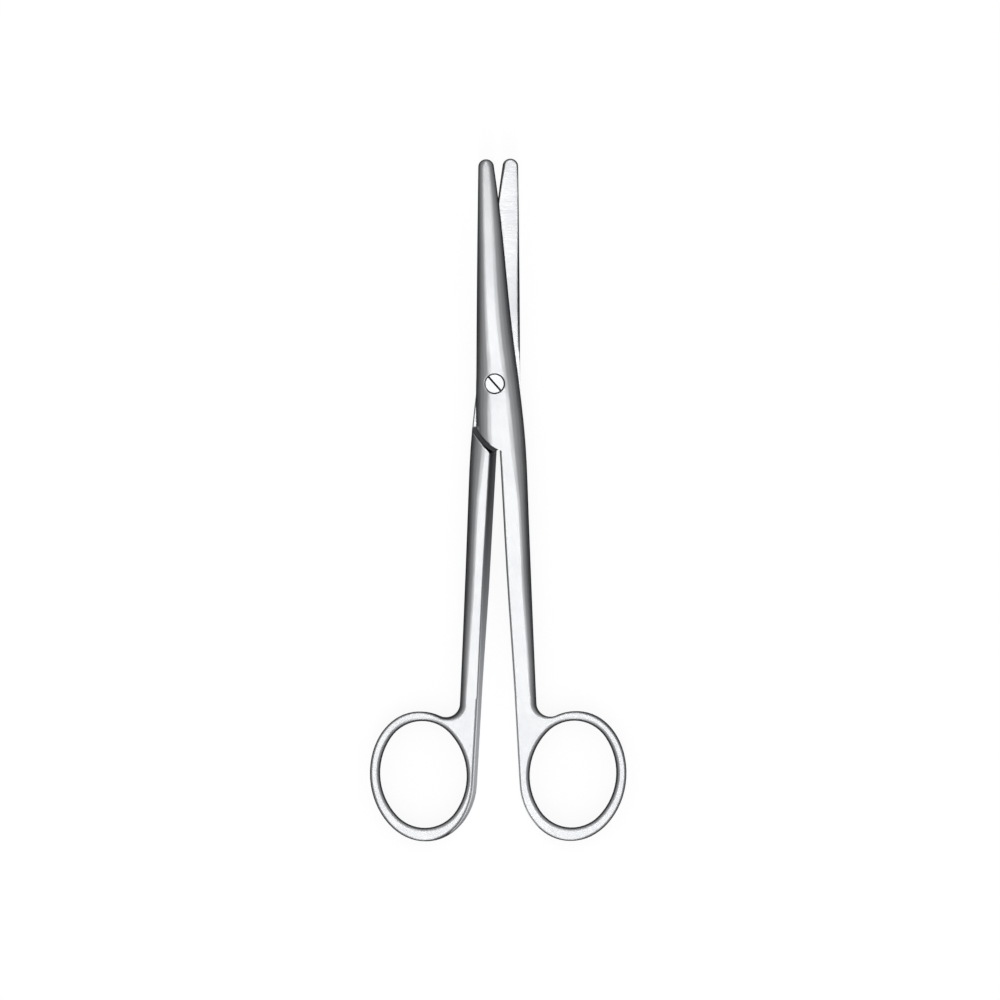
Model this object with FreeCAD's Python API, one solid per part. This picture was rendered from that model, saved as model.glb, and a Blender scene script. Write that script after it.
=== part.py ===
import FreeCAD, Part
import math
import os

# Curved dissecting scissors, 170 mm long, opened a few degrees as they lie on a table.
# Two forged halves turn on one slotted screw. All lengths are in millimetres, angles in degrees.
# X runs to the right, Y towards the tips and Z up. The origin is the lower end of the screw,
# level with the ground flat that the pair rests on.
#
# Both halves are modelled closed, in the pair's own frame: x = 0 is the line where the shanks
# meet, y = 0 is the height of the pivot and z = 0 is the joint face. The upper half has its
# ring on the +x side. The lower half is the same forging turned over about the line x = 0,
# apart from its blade, which bends the same way as the upper one.

Vector = FreeCAD.Vector

# Opening of the pair as it lies, and the place of the pivot beside the centre line
rest_opening = 6.4
pivot_offset = 0.90
joint_clearance = 0.02
joint_relief = 0.15

# Lengths from the pivot
blade_length = 56.1
flare_end = 2.0
box_middle = 6.0
shoulder_place = 16.0
shank_top_place = 30.0
shank_middle_place = 48.0
shank_low_place = 67.0
ring_neck_place = 78.5

# Bend of the blades, as one surface turned about the pivot: flat, then two tangent arcs
flat_radius = 6.3
heel_bend_radius = 60.0
heel_bend_end = 18.0
blade_bend_radius = 330.0
bend_overrun = 1.2

# Blade nose: a round end as wide as the blade there
nose_radius = 1.95
nose_thickness = 1.20
nose_round = 1.40
nose_wall = 0.40

# Sides of the blade: they lean in to a line just past the joint face, on the spine and nose
blade_draft = 0.32
draft_overrun = 0.12

# Upper blade, a little past its middle
blade_place_share = 0.60
blade_spine = 3.35
blade_edge = 3.27
blade_thickness = 2.22
blade_spine_round = 2.00
blade_edge_round = 2.85
blade_wall = 0.75

# Heel of the blade
heel_place_share = 0.18
heel_spine = 4.85
heel_edge = 4.40
heel_thickness = 3.10
heel_spine_round = 3.20
heel_edge_round = 3.80
heel_wall = 0.85

# Box around the screw, where one half lies on the other
box_spine_top = 5.35
box_edge_top = 5.02
box_spine = 5.88
box_edge = 5.58
box_crown = 3.30
box_round = 3.80
box_wall = 1.10
ground_stock = 0.10

# Shank, on the edge side of the centre line
shoulder_spine = 6.15
shoulder_edge = 5.97
shank_top_edge = 5.82
shank_top_round = 2.70
shank_middle_edge = 5.50
shank_middle_round = 2.40
shank_low_edge = 5.22
shank_low_thickness = 2.55
shank_low_round = 1.95
shank_edge = 5.08
neck_edge_round = 1.60

# Slanted inner faces of the shanks, with rounded edges
inner_slant = 14.4
closing_gap = 0.28
inner_edge_round = 0.50

# Rounded end of each half's blade side, and the shoulder of the other half that it passes
end_radius = 11.85
end_centre_x = 4.72
end_centre_y = -5.97
end_chord_angle = 46.3
end_bulge = 0.80
shoulder_gap = 0.20
shoulder_lean = 0.89

# Finger rings: an ellipse from the neck of the shank, and a hole set a little inwards and up
ring_thickness = 4.30
ring_neck_length = 3.90
ring_outer_x = 26.5
ring_half_length = 16.2
ring_lean = 10.0
ring_end_band = 2.90
ring_side_band = 2.32
hole_shift_in = 0.17
hole_shift_up = 0.50
hole_lean = 8.0
notch_radius = 3.5
ring_edge_round = 0.60
hole_edge_round = 1.00

# Pivot screw
head_radius = 2.42
head_height = 1.30
head_below_flat = 0.10
head_clearance = 0.04
head_chamfer = 0.18
seat_chamfer = 0.16
journal_radius = 1.70
journal_clearance = 0.03
thread_radius = 1.50
thread_clearance = 0.02
slot_width = 0.50
slot_depth = 0.60
slot_angle = -48.5

# Reach of the cutting tools past the forging
tool_reach = 30.0

# Pull of the poles of a rounding, for the nearest curve to a quarter of a circle
quarter_pull = 0.5523

# Narrow faces that each rounding is laid in, side by side: long ones, on the ring, in its hole
long_round_faces = 6
ring_round_faces = 3
hole_round_faces = 3

# Spans of the smooth faces round the ring, and steps in the search for its notch
ellipse_spans = 12
notch_spans = 4
search_steps = 40


def along(angle):
    """Unit direction in the plane of the pair, at an angle from +x."""
    turn = math.radians(angle)
    return Vector(math.cos(turn), math.sin(turn), 0)


def polygon(points):
    """Closed wire through the points."""
    return Part.makePolygon(points + [points[0]])


def prism(points, direction):
    """Solid pushed from a closed polygon."""
    return Part.Face(polygon(points)).extrude(direction)


def turned_over(shape, side):
    """The shape itself for the upper half, or turned over about the centre line."""
    if side < 0:
        shape.rotate(Vector(0, 0, 0), Vector(0, 1, 0), 180)
    return shape


def joint_face_arcs():
    """Ends and middles of the two arcs of the bend, as radius and height over the flat."""
    heel_turn = math.asin((heel_bend_end - flat_radius) / heel_bend_radius)
    blade_turn = heel_turn + bend_overrun * (blade_length - heel_bend_end) / blade_bend_radius

    def on_heel(turn):
        rise = heel_bend_radius * (1 - math.cos(turn))
        return (flat_radius + heel_bend_radius * math.sin(turn), rise)

    heel_end = on_heel(heel_turn)

    def on_blade(turn):
        run = blade_bend_radius * (math.sin(turn) - math.sin(heel_turn))
        rise = blade_bend_radius * (math.cos(heel_turn) - math.cos(turn))
        return (heel_end[0] + run, heel_end[1] + rise)

    middle_turn = (heel_turn + blade_turn) / 2
    return on_heel(heel_turn / 2), heel_end, on_blade(middle_turn), on_blade(blade_turn)


def bend(y):
    """Height and slope, in radians, of the joint face at a distance from the pivot."""
    heel_turn = math.asin((heel_bend_end - flat_radius) / heel_bend_radius)
    if y <= flat_radius:
        return 0.0, 0.0
    if y <= heel_bend_end:
        turn = math.asin((y - flat_radius) / heel_bend_radius)
        return heel_bend_radius * (1 - math.cos(turn)), turn
    heel_rise = heel_bend_radius * (1 - math.cos(heel_turn))
    turn = math.asin(math.sin(heel_turn) + (y - heel_bend_end) / blade_bend_radius)
    rise = blade_bend_radius * (math.cos(heel_turn) - math.cos(turn))
    return heel_rise + rise, turn


def stations():
    """Rows of place, spine side, edge side, half thickness, two roundings, side wall, two drafts."""
    neck_half = ring_thickness / 2
    neck_wall = neck_half - neck_edge_round
    nose_place = blade_length - nose_radius
    return [
        (nose_place, nose_radius, nose_radius, nose_thickness,
         nose_round, nose_round, nose_wall, blade_draft, blade_draft),
        (blade_place_share * blade_length, blade_spine, blade_edge, blade_thickness,
         blade_spine_round, blade_edge_round, blade_wall, blade_draft, 0),
        (heel_place_share * blade_length, heel_spine, heel_edge, heel_thickness,
         heel_spine_round, heel_edge_round, heel_wall, blade_draft, 0),
        (flare_end, box_spine_top, box_edge_top, box_crown,
         box_round, box_round, box_wall, 0, 0),
        (-box_middle, box_spine, box_edge, box_crown,
         box_round, box_round, box_wall, 0, 0),
        (-shoulder_place, shoulder_spine, shoulder_edge, box_crown,
         box_round, box_round, box_wall, 0, 0),
        (-shank_top_place, shoulder_spine, shank_top_edge, box_crown,
         box_round, shank_top_round, box_wall, 0, 0),
        (-shank_middle_place, shoulder_spine, shank_middle_edge, box_crown,
         shank_middle_round, shank_middle_round, box_wall, 0, 0),
        (-shank_low_place, shoulder_spine, shank_low_edge, shank_low_thickness,
         shank_low_round, shank_low_round, box_wall, 0, 0),
        (-ring_neck_place, shoulder_spine, shank_edge, neck_half,
         neck_edge_round, neck_edge_round, neck_wall, 0, 0),
    ]


def section_point(y, side, x, t):
    """Point of a section square to the bend: x across it and t along its normal."""
    rise, slope = bend(y)
    return Vector(side * x, y - t * math.sin(slope), rise + t * math.cos(slope))


def rounding_poles(land, corner, wall):
    """Poles of a rounding that starts on a land, bends at a corner and ends on a wall."""
    return [land, land + (corner - land) * quarter_pull,
            wall + (corner - wall) * quarter_pull, wall]


def narrow_parts(poles, count):
    """The same curve as poles of equal shares, one after the other."""
    parts = []
    for step in range(count):
        curve = Part.BezierCurve()
        curve.setPoles(poles)
        curve.segment(step / count, (step + 1) / count)
        parts.append(curve.getPoles())
    return parts


def corner_poles(y, side, edge, thick, rounding, wall):
    """Poles of one rounding from its land to its wall, above the joint face or below it."""
    land = section_point(y, side, edge - math.copysign(rounding, edge), thick)
    corner = section_point(y, side, edge, thick)
    return rounding_poles(land, corner, section_point(y, side, edge, wall))


def side_strips(first, joint, second):
    """Poles of the edges down one side: a rounding, the wall in two and a rounding."""
    wall = [[first[-1], joint], [joint, second[0]]]
    return narrow_parts(first, long_round_faces) + wall + narrow_parts(second, long_round_faces)


def section_strips(row, side):
    """Poles of all edges of one section: upper land, edge side, lower land, spine side."""
    y, spine, edge, thick, spine_rounding, edge_rounding, wall, spine_draft, edge_draft = row
    under = thick + (ground_stock if thick == box_crown else 0)
    past = -side * draft_overrun
    edge_upper = corner_poles(y, side, edge, thick, edge_rounding, wall)
    edge_joint = section_point(y, side, edge - edge_draft, past)
    edge_lower = corner_poles(y, side, edge, -under, edge_rounding, -wall)
    spine_upper = corner_poles(y, side, -spine, thick, spine_rounding, wall)
    spine_joint = section_point(y, side, spine_draft - spine, past)
    spine_lower = corner_poles(y, side, -spine, -under, spine_rounding, -wall)
    edge_side = side_strips(edge_upper, edge_joint, edge_lower[::-1])
    spine_side = side_strips(spine_lower, spine_joint, spine_upper[::-1])
    upper_land = [spine_upper[0], edge_upper[0]]
    lower_land = [edge_lower[0], spine_lower[0]]
    return [upper_land] + edge_side + [lower_land] + spine_side


def bezier(poles):
    """Edge from its poles."""
    curve = Part.BezierCurve()
    curve.setPoles(poles)
    return curve.toShape()


def section(row, side):
    """Closed outline of one section."""
    return Part.Wire([bezier(poles) for poles in section_strips(row, side)])


def smooth_line(points, places):
    """Smooth curve through points at their places."""
    line = Part.BSplineCurve()
    line.interpolate(Points=list(points), Parameters=places)
    return line


def skin(strips, places):
    """Smooth face through one edge of every section, given as rows of poles."""
    lines = [smooth_line(poles, places) for poles in zip(*strips)]
    first = lines[0]
    net = [[line.getPole(index) for line in lines] for index in range(1, first.NbPoles + 1)]
    across = len(lines) - 1
    surface = Part.BSplineSurface()
    surface.buildFromPolesMultsKnots(net, first.getMultiplicities(), [across + 1, across + 1],
                                     first.getKnots(), [0.0, 1.0], False, False,
                                     first.Degree, across)
    return surface.toShape()


def nose(side):
    """Round end of the blade: half of its last section turned half a turn."""
    row = stations()[0]
    strips = section_strips(row, side)
    edge_side = strips[1:len(strips) // 2]
    top = section_point(row[0], side, 0, nose_thickness)
    bottom = section_point(row[0], side, 0, -nose_thickness)
    ends = [
        Part.makeLine(edge_side[-1][-1], bottom),
        Part.makeLine(bottom, top),
        Part.makeLine(top, edge_side[0][0]),
    ]
    outline = Part.Wire([bezier(poles) for poles in edge_side] + ends)
    axis = top - bottom
    axis.normalize()
    return Part.Face(outline).revolve(bottom, axis * side, 180)


def forging(side):
    """Blade, box and shank in one piece, still full on both sides of the joint face."""
    rows = stations()
    length = rows[0][0] - rows[-1][0]
    places = [(rows[0][0] - row[0]) / length for row in rows]
    sections = [section_strips(row, side) for row in rows]
    faces = [skin(strips, places) for strips in zip(*sections)]
    faces.append(Part.Face(section(rows[0], side)))
    faces.append(Part.Face(section(rows[-1], side)))
    shell = Part.Shell(faces)
    shell.sewShape()
    return Part.Solid(shell).fuse(nose(side))


def bend_cutter(side):
    """All that lies beyond the joint face on the blade side, turned about the pivot."""
    gap = side * joint_clearance
    far = -side * tool_reach
    heel_middle, heel_end, blade_middle, blade_end = joint_face_arcs()

    def at(radius, z):
        return Vector(radius - pivot_offset, 0, z)

    def on_face(place):
        return at(place[0], place[1] + gap)

    start = at(0, gap)
    flat_end = at(flat_radius, gap)
    outline = Part.Wire([
        Part.makeLine(start, flat_end),
        Part.Arc(flat_end, on_face(heel_middle), on_face(heel_end)).toShape(),
        Part.Arc(on_face(heel_end), on_face(blade_middle), on_face(blade_end)).toShape(),
        Part.makeLine(on_face(blade_end), at(blade_end[0], far)),
        Part.makeLine(at(blade_end[0], far), at(0, far)),
        Part.makeLine(at(0, far), start),
    ])
    return Part.Face(outline).revolve(start, Vector(0, 0, 1), 180)


def shoulder_cutter(side):
    """Room in the lower layer for the other half's box, down to the slanted shoulder.

    The joint face is a disc round the pivot. Behind it the face is relieved a little, so that
    the other half's bent blade passes over it when the pair is opened wide.
    """
    depth = 2 * box_crown
    low = -depth
    floor = joint_relief

    def at(distance, z):
        return start + outward * distance + Vector(0, 0, z)

    def column(radius, x, y, top):
        return Part.makeCylinder(radius, top - low, Vector(x, y, low))

    flat = Part.makeBox(2 * tool_reach, -end_centre_y, floor - low,
                        Vector(-tool_reach, end_centre_y, low))
    round_room = column(end_radius + shoulder_gap, -end_centre_x, end_centre_y, floor)
    disc = Part.makeCylinder(flat_radius, depth, Vector(-pivot_offset, 0, joint_clearance))
    outward = along(end_chord_angle - 90)
    chord_way = along(end_chord_angle)
    chord_middle = (Vector(-end_centre_x, end_centre_y, 0)
                    + outward * (end_radius - end_bulge))
    lean_per_mm = shoulder_lean / box_crown
    start = chord_middle - chord_way * end_radius
    slanted = prism([
        at(-end_radius, floor),
        at(shoulder_gap, floor),
        at(shoulder_gap + lean_per_mm * depth, low),
        at(-end_radius, low),
    ], chord_way * (2 * end_radius))
    return turned_over(flat.fuse([round_room, slanted]).cut(disc), side)


def inner_face_x(z):
    """Place of the slanted inner face of the upper half at a height from the joint face."""
    return closing_gap / 2 - z * math.tan(math.radians(inner_slant))


def inner_block(low, high, north):
    """Everything inside the slanted inner face between two heights, up to a place along y."""
    length = north + ring_neck_place + tool_reach
    return prism([
        Vector(-tool_reach, north, low),
        Vector(inner_face_x(low), north, low),
        Vector(inner_face_x(high), north, high),
        Vector(-tool_reach, north, high),
    ], Vector(0, -length, 0))


def inner_cutter(side):
    """Room for the other shank: past the slanted face, and past the rounded end above."""
    depth = 2 * box_crown
    upper = inner_block(0, depth, end_centre_y)
    end = Part.makeCylinder(end_radius, depth, Vector(end_centre_x, end_centre_y, 0))
    lower = inner_block(-depth, joint_clearance, end_centre_y)
    return turned_over(upper.cut(end).fuse(lower), side)


def flat_cutter():
    """Stock below the flat that the pair rests on."""
    length = ring_neck_place + flat_radius
    return Part.makeBox(2 * tool_reach, length, box_crown,
                        Vector(-tool_reach, -ring_neck_place, -2 * box_crown))


def ring_centre_y():
    """Height of the ring's centre: below the neck by half the ring's length."""
    return -(ring_neck_place + ring_neck_length + ring_half_length)


def ring_half_width(z):
    """Half width of the ring's ellipse, so that it touches the inner face at a height."""
    half = (ring_outer_x - inner_face_x(z)) / 2
    lean = math.radians(ring_lean)
    return math.sqrt(half ** 2 - (ring_half_length * math.sin(lean)) ** 2) / math.cos(lean)


def outward(tangent):
    """Direction out of an outline that is followed with its inside on the left."""
    return Vector(tangent.y, -tangent.x, 0)


def notch_turn(curve, low, high):
    """Turn on the ellipse where a round notch touches both it and the shank."""
    for _ in range(search_steps):
        turn = (low + high) / 2
        centre = curve.value(turn) + outward(curve.tangent(turn)[0]) * notch_radius
        if centre.x > shank_edge + notch_radius:
            low = turn
        else:
            high = turn
    return turn


def ring_outline(z):
    """The four edges of the ring and its neck at one height, from the inner side round."""
    inner = inner_face_x(z)
    centre = Vector((ring_outer_x + inner) / 2, ring_centre_y(), z)
    half = (ring_outer_x - inner) / 2
    long_way = along(90 - ring_lean)
    cross_way = along(180 - ring_lean)
    half_width = ring_half_width(z)
    curve = Part.Ellipse(centre + long_way * ring_half_length,
                         centre + cross_way * half_width, centre)
    phase = math.atan2(half_width * long_way.y, ring_half_length * long_way.x)
    inner_turn = math.pi - phase
    top_turn = 2 * math.pi
    shank_turn = 2 * math.pi + math.acos((shank_edge - centre.x) / half) - phase
    notch_end = notch_turn(curve, top_turn, shank_turn)
    notch_start = curve.value(notch_end)
    notch_centre = notch_start + outward(curve.tangent(notch_end)[0]) * notch_radius
    to_ellipse = notch_start - notch_centre
    across = Vector(-notch_radius, 0, 0)
    middle = to_ellipse + across
    middle.normalize()
    notch_top = notch_centre + across
    return [
        Part.makeLine(Vector(inner, -ring_neck_place, z), curve.value(inner_turn)),
        curve.toShape(inner_turn, notch_end),
        Part.Arc(notch_start, notch_centre + middle * notch_radius, notch_top).toShape(),
        Part.makeLine(notch_top, Vector(shank_edge, -ring_neck_place, z)),
    ]


def hole_arcs():
    """The hole as four tangent arcs: each one's centre, start and turn in degrees."""
    half_length = ring_half_length - ring_end_band
    half_width = ring_half_width(0) - ring_side_band
    diagonal = math.hypot(half_length, half_width)
    small = (diagonal - half_length + half_width) / 2 * diagonal / half_length
    large = (diagonal + half_length - half_width) / 2 * diagonal / half_width
    middle = Vector((ring_outer_x + inner_face_x(0)) / 2 - hole_shift_in,
                    ring_centre_y() + hole_shift_up, 0)
    long_way = along(90 - hole_lean)
    cross_way = along(180 - hole_lean)
    half_turn = math.degrees(math.atan2(half_width, half_length))
    arcs = []
    for way, half_size, radius, share in (
            (long_way, half_length, small, 90 - half_turn),
            (cross_way, half_width, large, half_turn),
            (long_way * -1, half_length, small, 90 - half_turn),
            (cross_way * -1, half_width, large, half_turn)):
        centre = middle + way * (half_size - radius)
        start = way * radius
        turned = FreeCAD.Rotation(Vector(0, 0, 1), -share).multVec(start)
        arcs.append((centre, turned, 2 * share))
    return arcs


def hole_faces():
    """Wall of the hole with its two rounded rims."""
    axis = Vector(0, 0, 1)
    level = ring_thickness / 2
    low = level - hole_edge_round
    faces = []
    for centre, start, turn in hole_arcs():
        wall = centre + start
        out = start * (hole_edge_round / start.Length)
        upper = rounding_poles(wall + out + axis * level, wall + axis * level, wall + axis * low)
        lower = rounding_poles(wall + out - axis * level, wall - axis * level, wall - axis * low)
        strips = (narrow_parts(upper, hole_round_faces) + [[upper[-1], lower[-1]]]
                  + narrow_parts(lower[::-1], hole_round_faces))
        faces += [bezier(poles).revolve(centre, axis, turn) for poles in strips]
    return faces


def hole_lines(z):
    """Arcs where the rounded rim of the hole meets the flat face at one height."""
    lines = []
    for centre, start, turn in hole_arcs():
        radius = start.Length + hole_edge_round
        first = math.degrees(math.atan2(start.y, start.x))
        lines.append(Part.makeCircle(radius, centre + Vector(0, 0, z), Vector(0, 0, 1),
                                     first, first + turn))
    return lines


def rim_strips(upper, lower, share, rounding):
    """Poles across the ring's edge at a share of an outline's edge, from land to land."""
    turns = [edge.FirstParameter + share * (edge.LastParameter - edge.FirstParameter)
             for edge in (upper, lower)]
    top = upper.valueAt(turns[0])
    bottom = lower.valueAt(turns[1])
    down = bottom - top
    down.normalize()
    top_land = top - outward(upper.tangentAt(turns[0])) * rounding
    bottom_land = bottom - outward(lower.tangentAt(turns[1])) * rounding
    upper_round = rounding_poles(top_land, top, top + down * rounding)
    lower_round = rounding_poles(bottom_land, bottom, bottom - down * rounding)
    return (narrow_parts(upper_round, ring_round_faces)
            + [[upper_round[-1], lower_round[-1]]]
            + narrow_parts(lower_round[::-1], ring_round_faces))


def rim_rounding(start, end, share):
    """Rounding at a share of an outline's edge, eased from its start to its end."""
    return start + (end - start) * (1 - math.cos(math.pi * share)) / 2


def land(lines, inner):
    """Flat face inside a row of curves and the line that closes them, round a hole."""
    closing = Part.makeLine(lines[-1].valueAt(lines[-1].LastParameter),
                            lines[0].valueAt(lines[0].FirstParameter))
    face = Part.Face(Part.Wire(lines + [closing]))
    return face.cut(Part.Face(Part.Wire(inner))).Faces[0]


def ring():
    """Finger ring of the upper half with the last of its shank, rounded at all its rims."""
    half = ring_thickness / 2
    spans = [1, ellipse_spans, notch_spans, 1]
    roundings = [ring_edge_round, ring_edge_round, ring_edge_round,
                 neck_edge_round, neck_edge_round]
    faces = []
    upper_lines = []
    lower_lines = []
    for upper, lower, count, start, end in zip(ring_outline(half), ring_outline(-half), spans,
                                               roundings, roundings[1:]):
        places = [step / count for step in range(count + 1)]
        sections = [rim_strips(upper, lower, place, rim_rounding(start, end, place))
                    for place in places]
        faces += [skin(strips, places) for strips in zip(*sections)]
        upper_lines.append(smooth_line([strips[0][0] for strips in sections], places).toShape())
        lower_lines.append(smooth_line([strips[-1][-1] for strips in sections], places).toShape())
    faces += hole_faces()
    faces.append(land(upper_lines, hole_lines(half)))
    faces.append(land(lower_lines, hole_lines(-half)))
    first = rim_strips(ring_outline(half)[0], ring_outline(-half)[0], 0, ring_edge_round)
    last = rim_strips(ring_outline(half)[-1], ring_outline(-half)[-1], 1, neck_edge_round)
    neck = [bezier(poles) for poles in first + last]
    neck.append(Part.makeLine(first[0][0], last[0][0]))
    neck.append(Part.makeLine(first[-1][-1], last[-1][-1]))
    faces.append(Part.Face(Part.Wire(Part.sortEdges(neck)[0])))
    shell = Part.Shell(faces)
    shell.sewShape()
    return Part.Solid(shell)


def lies_level(edge, z):
    """Whether the whole edge lies at one height."""
    return abs(edge.BoundBox.ZMin - z) < 0.001 and abs(edge.BoundBox.ZMax - z) < 0.001


def on_inner_face(point, side):
    """Whether a point lies on the slanted inner face of the upper or the lower half."""
    return abs(side * point.x - inner_face_x(side * point.z)) < 0.001


def inner_edges(body, side):
    """Long edges of the slanted inner face, above and below."""
    found = []
    for edge in body.Edges:
        middle = edge.valueAt((edge.FirstParameter + edge.LastParameter) / 2)
        points = [edge.Vertexes[0].Point, middle, edge.Vertexes[-1].Point]
        level = min(abs(point.z) for point in points)
        if edge.Length > flat_radius and level > ring_thickness / 3:
            if all(on_inner_face(point, side) for point in points):
                found.append(edge)
    return found


def blank(side):
    """One half with its joint face, shoulder and ring, before the pivot is bored."""
    body = forging(side)
    body = body.cut([bend_cutter(side), shoulder_cutter(side), inner_cutter(side), flat_cutter()])
    body = body.removeSplitter()
    body = body.makeFillet(inner_edge_round, inner_edges(body, side))
    body = body.fuse(turned_over(ring(), side))
    return body.removeSplitter()


def bore(radius, low, high):
    """Round tool on the pivot axis, in the pair's frame."""
    return Part.makeCylinder(radius, high - low, Vector(-pivot_offset, 0, low))


def head_seat():
    """Counterbore for the screw head, with a small chamfer at its rim."""
    seat_low = box_crown - head_below_flat - head_height
    seat_radius = head_radius + head_clearance
    seat = bore(seat_radius, seat_low, box_crown)
    rim_low = box_crown - seat_chamfer
    rim = Part.makeCone(seat_radius, seat_radius + 2 * seat_chamfer, 2 * seat_chamfer,
                        Vector(-pivot_offset, 0, rim_low))
    return seat.fuse(rim)


def placed(shape, side):
    """The half in the object's frame: pivot on the Z axis and turned to the rest opening."""
    shape.translate(Vector(pivot_offset, 0, box_crown))
    shape.rotate(Vector(0, 0, 0), Vector(0, 0, 1), side * rest_opening / 2)
    return shape


def front_half():
    """Upper half, with the journal bore and the seat of the screw head."""
    body = blank(1)
    body = body.cut([bore(journal_radius + journal_clearance, -box_crown, box_crown), head_seat()])
    return placed(body, 1)


def back_half():
    """Lower half, with the hole that the screw is threaded into."""
    body = blank(-1)
    body = body.cut(bore(thread_radius + thread_clearance, -2 * box_crown, box_crown))
    return placed(body, -1)


def pivot_screw():
    """Slotted screw: head, journal in the upper half and threaded end in the lower half."""
    head_top = 2 * box_crown - head_below_flat
    head_low = head_top - head_height
    journal_low = box_crown - joint_clearance
    head = Part.makeCylinder(head_radius, head_height, Vector(0, 0, head_low))
    rim = [edge for edge in head.Edges if lies_level(edge, head_top)]
    head = head.makeChamfer(head_chamfer, rim)
    journal = Part.makeCylinder(journal_radius, head_low - journal_low, Vector(0, 0, journal_low))
    thread = Part.makeCylinder(thread_radius, journal_low)
    slot = Part.makeBox(4 * head_radius, slot_width, 2 * slot_depth,
                        Vector(-2 * head_radius, -slot_width / 2, head_top - slot_depth))
    slot.rotate(Vector(0, 0, 0), Vector(0, 0, 1), slot_angle)
    return head.fuse([journal, thread]).cut(slot).removeSplitter()


def write_part(name, shape):
    """Write one node and say what it holds."""
    shape.exportStep(os.path.join("parts", name + ".step"))
    box = shape.BoundBox
    print("%-12s solids %d valid %s volume %.2f box %.2f %.2f %.2f to %.2f %.2f %.2f"
          % (name, len(shape.Solids), shape.isValid(), shape.Volume,
             box.XMin, box.YMin, box.ZMin, box.XMax, box.YMax, box.ZMax))


os.makedirs("parts", exist_ok=True)
write_part("front_half", front_half())
write_part("back_half", back_half())
write_part("pivot_screw", pivot_screw())
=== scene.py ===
"""Looks of a pair of curved dissecting scissors in satin steel.

The two halves and the screw are the solids of the frame, shown as they are. This script gives
them their finish, and adds the floor, the light and a camera that looks straight down.
Lengths are in metres, in the frame of the part: the pivot is on the Z axis and the tips are at +Y.
"""

import math

import bpy
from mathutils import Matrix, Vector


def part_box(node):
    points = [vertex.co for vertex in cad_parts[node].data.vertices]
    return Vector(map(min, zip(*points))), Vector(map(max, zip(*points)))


MM = 0.001

# Camera: straight down, like the drawing, with no perspective
view_width = 248.9 * MM
view_centre_x = 1.35 * MM
view_centre_y = -28.95 * MM
camera_height = 1.4
camera_sight = 10.0

# Floor and background
floor_half = 3.0
floor_drop = 0.02 * MM
floor_colour = (0.26, 0.26, 0.26, 1.0)
floor_glow = 0.84

# Lamp overhead, and the grey tent that hangs from it down to the floor
lamp_width = 0.18
lamp_length = 2.6
lamp_height = 1.25
lamp_middle_y = -0.75
lamp_power = 4.7
sky_level = 0.62
tent_half_width = 0.75
tent_overhang = 0.60
tent_top_tone = 0.72
tent_low_tone = 0.20
tent_fade = 1.5

# How the pair lies: half the opening, the pivot beside the line where the shanks meet, and the
# height of the face where one half lies on the other
half_opening_deg = 3.2
pivot_offset = 0.90 * MM
joint_height = 3.3 * MM

# Colours of the steel: of the flats and of the ground faces, and painted shade and light: of the
# round sides, of the slanted inner faces, of the lower level behind the box and of the upright
# walls
satin_dim = (0.53, 0.54, 0.555, 1.0)
satin_clear = (0.58, 0.59, 0.60, 1.0)
ground_dim = (0.52, 0.525, 0.54, 1.0)
ground_clear = (0.60, 0.605, 0.615, 1.0)
side_shade_colour = (0.075, 0.077, 0.083, 1.0)
inner_painted_colour = (0.50, 0.51, 0.525)
recess_shade_colour = (0.035, 0.036, 0.039, 1.0)
wall_shade_colour = (0.34, 0.345, 0.355, 1.0)

# Kinds of face by the height of their normal: the joint faces, the sides with painted shade, the
# upright walls
joint_face_from = 0.60
joint_face_at = 0.80
side_full_at = 0.66
side_none_at = 0.93
wall_full_at = 0.10
wall_none_at = 0.34

# Painted shade: the colour of the flats darkens a little towards the blade's tip
dimming_from = 20.0 * MM
dimming_to = 56.0 * MM
tip_shade_factor = 0.82

# The normals of the narrow faces are evened out over this reach, on all but level faces
softening = 0.60 * MM
softening_samples = 8
level_face_from = 0.9965
level_face_at = 0.999

# Painted shade: a fine dark line along the edge of the inner face, and where that edge runs on the
# blade and on the box: its place across the half, as a sum of powers of the centimetres along it
CM = 0.01
edge_shade_full_at = 0.24 * MM
edge_shade_none_at = 0.42 * MM
blade_edge_line = (-5.119 * MM, 0.964 * MM, -0.2284 * MM, 0.03132 * MM)
box_edge_line = (-5.171 * MM, 0.747 * MM, 0.0756 * MM, -0.0522 * MM)
blade_edge_from = 7.0 * MM
edge_line_blend = 1.0 * MM

# Where the lower level behind the box begins, which the other half's round end sweeps over
recess_from = -10.6 * MM
recess_blend = 0.6 * MM
recess_depth_full = 0.45 * MM
recess_depth_none = 0.70 * MM

# Slanted inner faces: where they begin, how far they lie off the middle, the stretch of the
# shoulder, and their painted tone at both ends, darker near the box and lighter towards the rings
inner_from = -10.0 * MM
inner_blend = 1.0 * MM
inner_reach = 5.0 * MM
inner_reach_end = 6.5 * MM
shoulder_from = -20.0 * MM
shoulder_to = -22.0 * MM
turned_from = 0.50
turned_at = 0.60
tone_near_from = -26.0 * MM
tone_far_from = -97.0 * MM
tone_near = 0.75
tone_far = 1.90

# Fine texture: the noises' scales per metre, how much of each noise counts, and the bumps
grain_scale = 5200.0
grain_detail = 2.0
grain_harshness = 0.6
line_scale = 260.0
ground_line_scale = 420.0
line_detail = 3.0
cloud_scale = 95.0
cloud_detail = 3.0
cloud_harshness = 0.55
cloud_from = 0.30
cloud_to = 0.70
smooth_from = 0.25
smooth_to = 0.75
grain_bump = 0.002 * MM
line_bump = 0.0025 * MM
bump_strength = 0.6
satin_roughness = (0.30, 0.36)
ground_roughness = (0.26, 0.34)
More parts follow.
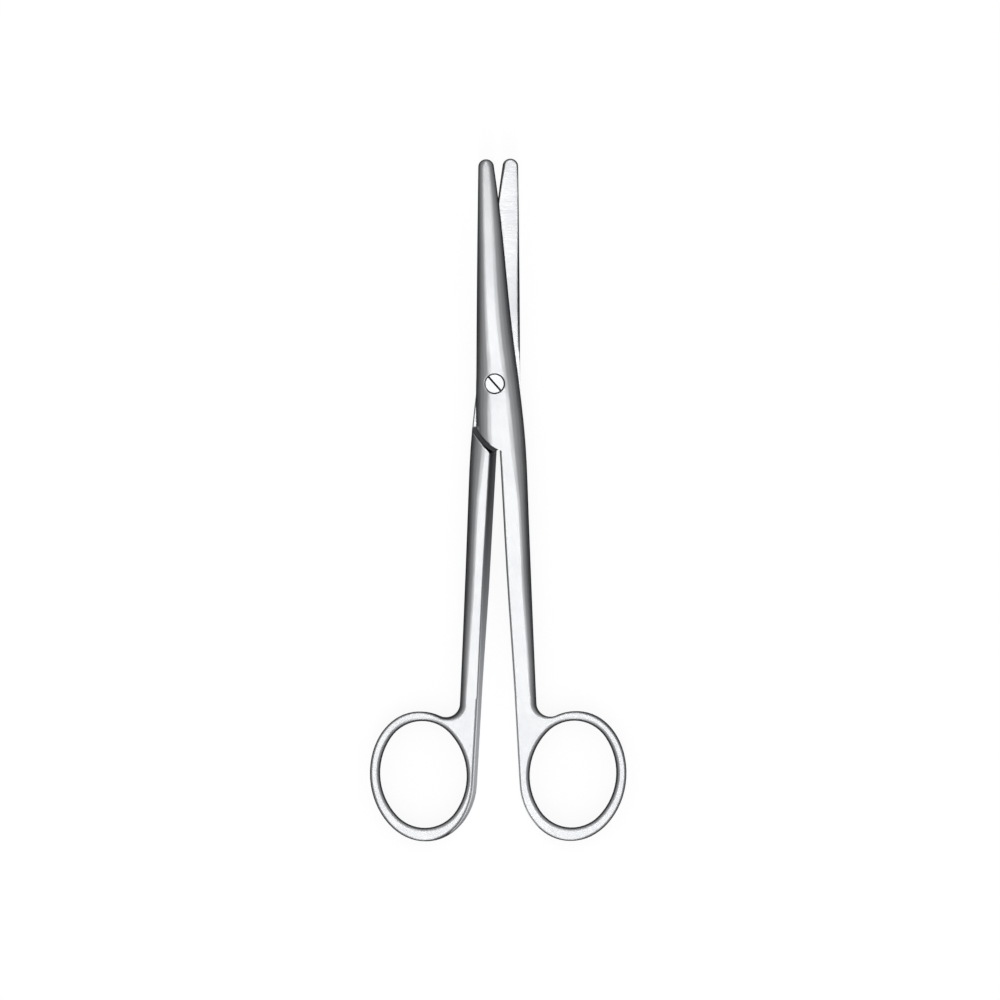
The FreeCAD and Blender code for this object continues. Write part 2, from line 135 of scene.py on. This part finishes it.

# Screw: colours of its face, of the painted shade in its slot and chamfer, and its turned rings
screw_dim = (0.39, 0.395, 0.405, 1.0)
screw_clear = (0.44, 0.445, 0.455, 1.0)
screw_shade_colour = (0.035, 0.035, 0.04, 1.0)
screw_ring_scale = 1400.0
screw_ring_wander = 0.6
screw_grain_scale = 4200.0
screw_ring_bump = 0.003 * MM
screw_bump_strength = 0.5
screw_roughness = (0.24, 0.50)
slot_shade_below = 0.10 * MM
slot_clear_above = 0.03 * MM
chamfer_full_at = 0.75
chamfer_none_at = 0.95


class Graph:
    """A material's node tree, with short ways to add and join nodes."""

    def __init__(self, name):
        self.material = bpy.data.materials.new(name)
        self.material.use_nodes = True
        self.tree = self.material.node_tree
        self.tree.nodes.clear()

    def node(self, kind, **settings):
        made = self.tree.nodes.new(kind)
        for key, value in settings.items():
            setattr(made, key, value)
        return made

    def join(self, source, target):
        self.tree.links.new(source, target)

    def feed(self, value, target):
        """Joins an output to a socket, or sets a plain value on it."""
        if isinstance(value, bpy.types.NodeSocket):
            self.join(value, target)
        else:
            target.default_value = value

    def maths(self, operation, *values):
        made = self.node("ShaderNodeMath", operation=operation)
        for value, socket in zip(values, made.inputs):
            self.feed(value, socket)
        return made.outputs[0]

    def ramp(self, value, low, high, at_low=0.0, at_high=1.0):
        """A smooth step from at_low to at_high as value goes from low to high."""
        made = self.node("ShaderNodeMapRange", interpolation_type="SMOOTHSTEP")
        self.feed(value, made.inputs["Value"])
        made.inputs["From Min"].default_value = low
        made.inputs["From Max"].default_value = high
        made.inputs["To Min"].default_value = at_low
        made.inputs["To Max"].default_value = at_high
        return made.outputs["Result"]

    def apart(self, vector):
        made = self.node("ShaderNodeSeparateXYZ")
        self.join(vector, made.inputs["Vector"])
        return made.outputs

    def mix(self, share, first, second):
        made = self.node("ShaderNodeMix", data_type="RGBA")
        self.feed(share, made.inputs[0])
        self.feed(first, made.inputs[6])
        self.feed(second, made.inputs[7])
        return made.outputs[2]

    def blend(self, share, first, second):
        made = self.node("ShaderNodeMix", data_type="FLOAT")
        self.feed(share, made.inputs[0])
        self.feed(first, made.inputs[2])
        self.feed(second, made.inputs[3])
        return made.outputs[0]

    def scaled(self, colour, factor):
        made = self.node("ShaderNodeVectorMath", operation="SCALE")
        self.feed(colour, made.inputs[0])
        self.feed(factor, made.inputs["Scale"])
        return made.outputs[0]

    def noise(self, vector, scale, detail, harshness):
        made = self.node("ShaderNodeTexNoise")
        self.join(vector, made.inputs["Vector"])
        made.inputs["Scale"].default_value = scale
        made.inputs["Detail"].default_value = detail
        made.inputs["Roughness"].default_value = harshness
        return made.outputs["Fac"]

    def turned(self, vector, angle_deg, shift_x):
        """Coordinates turned about Z and moved along X, into the frame of one half."""
        made = self.node("ShaderNodeMapping")
        self.join(vector, made.inputs["Vector"])
        made.inputs["Location"].default_value = (shift_x, 0.0, 0.0)
        made.inputs["Rotation"].default_value = (0.0, 0.0, math.radians(angle_deg))
        return made.outputs["Vector"]

    def stretched(self, vector, across, along):
        """Coordinates scaled unevenly, so that a noise becomes fine lines."""
        made = self.node("ShaderNodeMapping")
        self.join(vector, made.inputs["Vector"])
        made.inputs["Scale"].default_value = (across, along, across)
        return made.outputs["Vector"]

    def bump(self, height, distance, strength, after=None):
        made = self.node("ShaderNodeBump")
        made.inputs["Strength"].default_value = strength
        made.inputs["Distance"].default_value = distance
        self.join(height, made.inputs["Height"])
        if after is not None:
            self.join(after, made.inputs["Normal"])
        return made.outputs["Normal"]

    def softened(self, reach):
        """The surface's normal, evened out over a short reach except on the level faces."""
        plain = self.node("ShaderNodeNewGeometry").outputs["Normal"]
        soft = self.node("ShaderNodeBevel", samples=softening_samples)
        soft.inputs["Radius"].default_value = reach
        level = self.maths("ABSOLUTE", self.apart(plain)["Z"])
        round_part = self.ramp(level, level_face_from, level_face_at, 1.0, 0.0)
        made = self.node("ShaderNodeMix", data_type="VECTOR")
        self.join(round_part, made.inputs[0])
        self.join(plain, made.inputs[4])
        self.join(soft.outputs["Normal"], made.inputs[5])
        return made.outputs[1]

    def metal(self, colour, roughness, normal):
        """Plain metal with no bright rim at grazing angles."""
        shader = self.node("ShaderNodeBsdfPrincipled")
        shader.inputs["Metallic"].default_value = 1.0
        shader.inputs["Specular Tint"].default_value = (0.0, 0.0, 0.0, 1.0)
        self.feed(colour, shader.inputs["Base Color"])
        self.feed(roughness, shader.inputs["Roughness"])
        self.join(normal, shader.inputs["Normal"])
        output = self.node("ShaderNodeOutputMaterial")
        self.join(shader.outputs["BSDF"], output.inputs["Surface"])
        return self.material


def sum_of_powers(graph, value, factors):
    """The first factor, plus the second times value, plus the third times its square, and so on."""
    total = factors[-1]
    for factor in factors[-2::-1]:
        total = graph.maths("MULTIPLY_ADD", total, value, factor)
    return total


def edge_shade_line(graph, own, side):
    """1 along the edge of the inner face of a half, where a fine dark line of painted shade goes,
    and 0 away from it.
    """
    along = graph.maths("DIVIDE", own["Y"], CM)
    on_blade = graph.ramp(own["Y"], blade_edge_from - edge_line_blend,
                          blade_edge_from + edge_line_blend)
    line = graph.blend(on_blade, sum_of_powers(graph, along, box_edge_line),
                       sum_of_powers(graph, along, blade_edge_line))
    inside = graph.maths("SUBTRACT", graph.maths("MULTIPLY", own["X"], -side), line)
    return graph.ramp(inside, edge_shade_full_at, edge_shade_none_at, 1.0, 0.0)


def recess(graph, own, height):
    """1 on the lower level behind the box, which gets a dark painted shade."""
    off_joint = graph.maths("ABSOLUTE", graph.maths("SUBTRACT", height, joint_height))
    level = graph.ramp(off_joint, recess_depth_full, recess_depth_none, 1.0, 0.0)
    behind = graph.ramp(own["Y"], recess_from - recess_blend, recess_from, 1.0, 0.0)
    return graph.maths("MULTIPLY", level, behind)


def inner_shank_face(graph, own, facing, side):
    """1 on the slanted faces between the shanks and at the shoulder, which get a painted tone in
    place of their light and shade.
    """
    inward = graph.maths("MULTIPLY", facing["X"], -side)
    at_shoulder = graph.ramp(own["Y"], shoulder_to, shoulder_from)
    ahead = graph.maths("MULTIPLY", facing["Y"], at_shoulder)
    turned_in = graph.ramp(graph.maths("MAXIMUM", inward, ahead), turned_from, turned_at)
    behind = graph.ramp(own["Y"], inner_from - inner_blend, inner_from, 1.0, 0.0)
    reach = graph.maths("ABSOLUTE", own["X"])
    near = graph.ramp(reach, inner_reach, inner_reach_end, 1.0, 0.0)
    return graph.maths("MULTIPLY", graph.maths("MULTIPLY", turned_in, behind), near)


def face_masks(graph, place, own, side):
    """How far a point lies on each kind of face, and its evened-out normal."""
    facing = graph.apart(place.outputs["Normal"])
    height = graph.apart(place.outputs["Object"])["Z"]
    turned_to = graph.maths("MULTIPLY", facing["Z"], -side)
    to_joint = graph.ramp(turned_to, joint_face_from, joint_face_at)
    on_blade = graph.ramp(own["Y"], recess_from - recess_blend, recess_from)
    ground = graph.maths("MULTIPLY", to_joint, on_blade)
    normal = graph.softened(softening)
    level = graph.maths("ABSOLUTE", graph.apart(normal)["Z"])
    return {
        "normal": normal,
        "ground": ground,
        "flat": graph.ramp(level, side_full_at, side_none_at),
        "steep": graph.ramp(level, wall_full_at, wall_none_at, 1.0, 0.0),
        "inner": inner_shank_face(graph, own, facing, side),
        "edge_shade": graph.maths("MULTIPLY", ground, edge_shade_line(graph, own, side)),
        "dark": graph.maths("MULTIPLY", to_joint, recess(graph, own, height)),
    }


def steel_colour(graph, where, own, masks):
    """The colour of the steel over all its kinds of face."""
    cloud_noise = graph.noise(where, cloud_scale, cloud_detail, cloud_harshness)
    cloud = graph.ramp(cloud_noise, cloud_from, cloud_to)
    # Painted shade: the flats darken towards the tip
    tip = graph.ramp(own["Y"], dimming_from, dimming_to, 1.0, tip_shade_factor)
    satin = graph.scaled(graph.mix(cloud, satin_dim, satin_clear), tip)
    clear = graph.mix(cloud, ground_dim, ground_clear)
    colour = graph.mix(masks["ground"], satin, clear)
    # Painted shade: the round sides darken as their normal leans from up, the upright walls a
    # little less
    side_shade = graph.mix(masks["steep"], side_shade_colour, wall_shade_colour)
    colour = graph.mix(masks["flat"], side_shade, colour)
    # Painted shade: a fine dark line along the edge of the inner face
    colour = graph.mix(masks["edge_shade"], colour, side_shade_colour)
    # Painted light and shade on the slanted inner faces, darker near the box and lighter towards
    # the rings
    clearing = graph.ramp(own["Y"], tone_far_from, tone_near_from, tone_far, tone_near)
    colour = graph.mix(masks["inner"], colour, graph.scaled(inner_painted_colour, clearing))
    # Painted shade on the lower level behind the box
    return graph.mix(masks["dark"], colour, recess_shade_colour)


def satin_steel(name, side):
    """Fine matt steel with painted shade round the sides, and a ground finish on the inner face of
    the blade.

    side is +1 for the upper half, whose inner face looks down, and -1 for the lower half.
    """
    graph = Graph(name)
    place = graph.node("ShaderNodeTexCoord")
    where = place.outputs["Object"]
    turned = graph.turned(where, -side * half_opening_deg, -pivot_offset)
    own = graph.apart(turned)
    masks = face_masks(graph, place, own, side)

    grain = graph.noise(where, grain_scale, grain_detail, grain_harshness)
    along = graph.stretched(turned, grain_scale, line_scale)
    across = graph.stretched(turned, ground_line_scale, grain_scale)
    satin_lines = graph.noise(along, 1.0, line_detail, grain_harshness)
    ground_lines = graph.noise(across, 1.0, line_detail, grain_harshness)
    lines = graph.blend(masks["ground"], satin_lines, ground_lines)
    fine = graph.bump(grain, grain_bump, bump_strength, after=masks["normal"])
    brushed = graph.bump(lines, line_bump, bump_strength, after=fine)

    satin_rough = graph.ramp(grain, smooth_from, smooth_to, *satin_roughness)
    ground_rough = graph.ramp(ground_lines, smooth_from, smooth_to, *ground_roughness)
    rough = graph.blend(masks["ground"], satin_rough, ground_rough)
    return graph.metal(steel_colour(graph, where, own, masks), rough, brushed)


def screw_steel(name, top_z):
    """Bright turned steel, with painted shade down in the driver slot and round its chamfer, where
    it is also rougher.
    """
    graph = Graph(name)
    place = graph.node("ShaderNodeTexCoord")
    where = place.outputs["Object"]
    height = graph.apart(where)["Z"]
    level = graph.maths("ABSOLUTE", graph.apart(place.outputs["Normal"])["Z"])
    depth = graph.ramp(height, top_z - slot_shade_below, top_z - slot_clear_above, 1.0, 0.0)
    chamfer = graph.ramp(level, chamfer_full_at, chamfer_none_at, 1.0, 0.0)
    dark = graph.maths("MAXIMUM", depth, chamfer)
    rings = graph.node("ShaderNodeTexWave", wave_type="RINGS", rings_direction="Z")
    graph.join(where, rings.inputs["Vector"])
    rings.inputs["Scale"].default_value = screw_ring_scale
    rings.inputs["Distortion"].default_value = screw_ring_wander
    grain = graph.noise(where, screw_grain_scale, grain_detail, grain_harshness)
    bright = graph.mix(grain, screw_dim, screw_clear)
    # Painted shade in the driver slot and round the chamfer
    colour = graph.mix(dark, bright, screw_shade_colour)
    rough = graph.ramp(dark, 0.0, 1.0, *screw_roughness)
    normal = graph.bump(rings.outputs["Fac"], screw_ring_bump, screw_bump_strength)
    return graph.metal(colour, rough, normal)


def put_on(node, material):
    """Gives a node of the frame one material, on each of its slots."""
    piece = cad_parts[node]
    if not piece.material_slots:
        piece.data.materials.append(material)
    for slot in piece.material_slots:
        slot.link = "OBJECT"
        slot.material = material


def dress_the_part():
    """The finish of each piece."""
    put_on("front_half", satin_steel("front_satin_steel", 1.0))
    put_on("back_half", satin_steel("back_satin_steel", -1.0))
    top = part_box("pivot_screw")[1]
    screw = screw_steel("screw_turned_steel", top.z)
    put_on("pivot_screw", screw)


def white_where_seen(tree, level, shaded):
    """level for rays from the camera, reflections and glass, and shaded for all others."""
    path = tree.nodes.new("ShaderNodeLightPath")
    first = tree.nodes.new("ShaderNodeMath")
    first.operation = "MAXIMUM"
    tree.links.new(path.outputs["Is Camera Ray"], first.inputs[0])
    tree.links.new(path.outputs["Is Glossy Ray"], first.inputs[1])
    second = tree.nodes.new("ShaderNodeMath")
    second.operation = "MAXIMUM"
    tree.links.new(first.outputs[0], second.inputs[0])
    tree.links.new(path.outputs["Is Transmission Ray"], second.inputs[1])
    spread = tree.nodes.new("ShaderNodeMapRange")
    tree.links.new(second.outputs[0], spread.inputs["Value"])
    spread.inputs["To Min"].default_value = shaded
    spread.inputs["To Max"].default_value = level
    return spread.outputs["Result"]


def stage_mesh(name, points, faces, material):
    """A piece of the stage, which isn't part of the scissors."""
    mesh = bpy.data.meshes.new(name)
    mesh.from_pydata(points, [], faces)
    mesh.materials.append(material)
    made = bpy.data.objects.new(name, mesh)
    bpy.context.scene.collection.objects.link(made)
    return made


def rectangle(half_x, low_y, high_y, z):
    """Four corners of a level rectangle, in order round it."""
    return [(-half_x, low_y, z), (half_x, low_y, z), (half_x, high_y, z), (-half_x, high_y, z)]


def floor():
    """A plain white floor that keeps the soft shadow of the scissors."""
    graph = Graph("floor_white")
    matt = graph.node("ShaderNodeBsdfDiffuse")
    matt.inputs["Color"].default_value = floor_colour
    glow = graph.node("ShaderNodeEmission")
    graph.join(white_where_seen(graph.tree, floor_glow, 0.0), glow.inputs["Strength"])
    both = graph.node("ShaderNodeAddShader")
    graph.join(matt.outputs[0], both.inputs[0])
    graph.join(glow.outputs[0], both.inputs[1])
    output = graph.node("ShaderNodeOutputMaterial")
    graph.join(both.outputs[0], output.inputs["Surface"])
    points = rectangle(floor_half, -floor_half, floor_half, -floor_drop)
    stage_mesh("floor", points, [(0, 1, 2, 3)], graph.material)


def tent():
    """Grey slanted cards on all four sides, seen only in reflections, darker towards the floor."""
    graph = Graph("tent_grey")
    place = graph.node("ShaderNodeTexCoord")
    height = graph.maths("DIVIDE", graph.apart(place.outputs["Object"])["Z"], lamp_height)
    rise = graph.maths("POWER", height, tent_fade)
    tone = graph.maths("MULTIPLY_ADD", rise, tent_top_tone - tent_low_tone, tent_low_tone)
    glow = graph.node("ShaderNodeEmission")
    graph.join(tone, glow.inputs["Strength"])
    output = graph.node("ShaderNodeOutputMaterial")
    graph.join(glow.outputs[0], output.inputs["Surface"])
    low_y = lamp_middle_y - lamp_length / 2
    high_y = lamp_middle_y + lamp_length / 2
    top = rectangle(lamp_width / 2, low_y, high_y, lamp_height)
    foot = rectangle(tent_half_width, low_y - tent_overhang, high_y + tent_overhang, 0.0)
    sides = [(0, 1, 5, 4), (1, 2, 6, 5), (2, 3, 7, 6), (3, 0, 4, 7)]
    made = stage_mesh("tent", top + foot, sides, graph.material)
    made.visible_camera = False
    made.visible_diffuse = False
    made.visible_shadow = False
    made.visible_transmission = False


def overhead_lamp():
    """One long soft lamp overhead, along the scissors."""
    lamp = bpy.data.lights.new("overhead_lamp", "AREA")
    lamp.shape = "RECTANGLE"
    lamp.size = lamp_width
    lamp.size_y = lamp_length
    lamp.energy = lamp_power
    made = bpy.data.objects.new("overhead_lamp", lamp)
    made.location = (0.0, lamp_middle_y, lamp_height)
    bpy.context.scene.collection.objects.link(made)


def sky():
    """A soft white surround: plain light on the part, and white where it is seen."""
    world = bpy.data.worlds.new("surround")
    bpy.context.scene.world = world
    world.use_nodes = True
    tree = world.node_tree
    tree.nodes.clear()
    background = tree.nodes.new("ShaderNodeBackground")
    tree.links.new(white_where_seen(tree, 1.0, sky_level), background.inputs["Strength"])
    output = tree.nodes.new("ShaderNodeOutputWorld")
    tree.links.new(background.outputs[0], output.inputs["Surface"])


def camera():
    """Straight down on the scissors, tips up in the frame."""
    lens = bpy.data.cameras.new("camera")
    lens.type = "ORTHO"
    lens.ortho_scale = view_width
    lens.clip_end = camera_sight
    made = bpy.data.objects.new("camera", lens)
    made.location = (view_centre_x, view_centre_y, camera_height)
    bpy.context.scene.collection.objects.link(made)
    bpy.context.scene.camera = made


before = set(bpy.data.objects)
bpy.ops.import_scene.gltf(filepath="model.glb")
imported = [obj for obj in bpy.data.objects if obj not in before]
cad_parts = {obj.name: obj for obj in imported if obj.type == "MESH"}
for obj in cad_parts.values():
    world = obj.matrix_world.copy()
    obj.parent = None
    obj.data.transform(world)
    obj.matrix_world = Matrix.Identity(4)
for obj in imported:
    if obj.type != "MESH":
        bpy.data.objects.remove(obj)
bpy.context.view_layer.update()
bpy.context.scene.view_settings.view_transform = "Standard"
camera()
floor()
tent()
overhead_lamp()
sky()
dress_the_part()
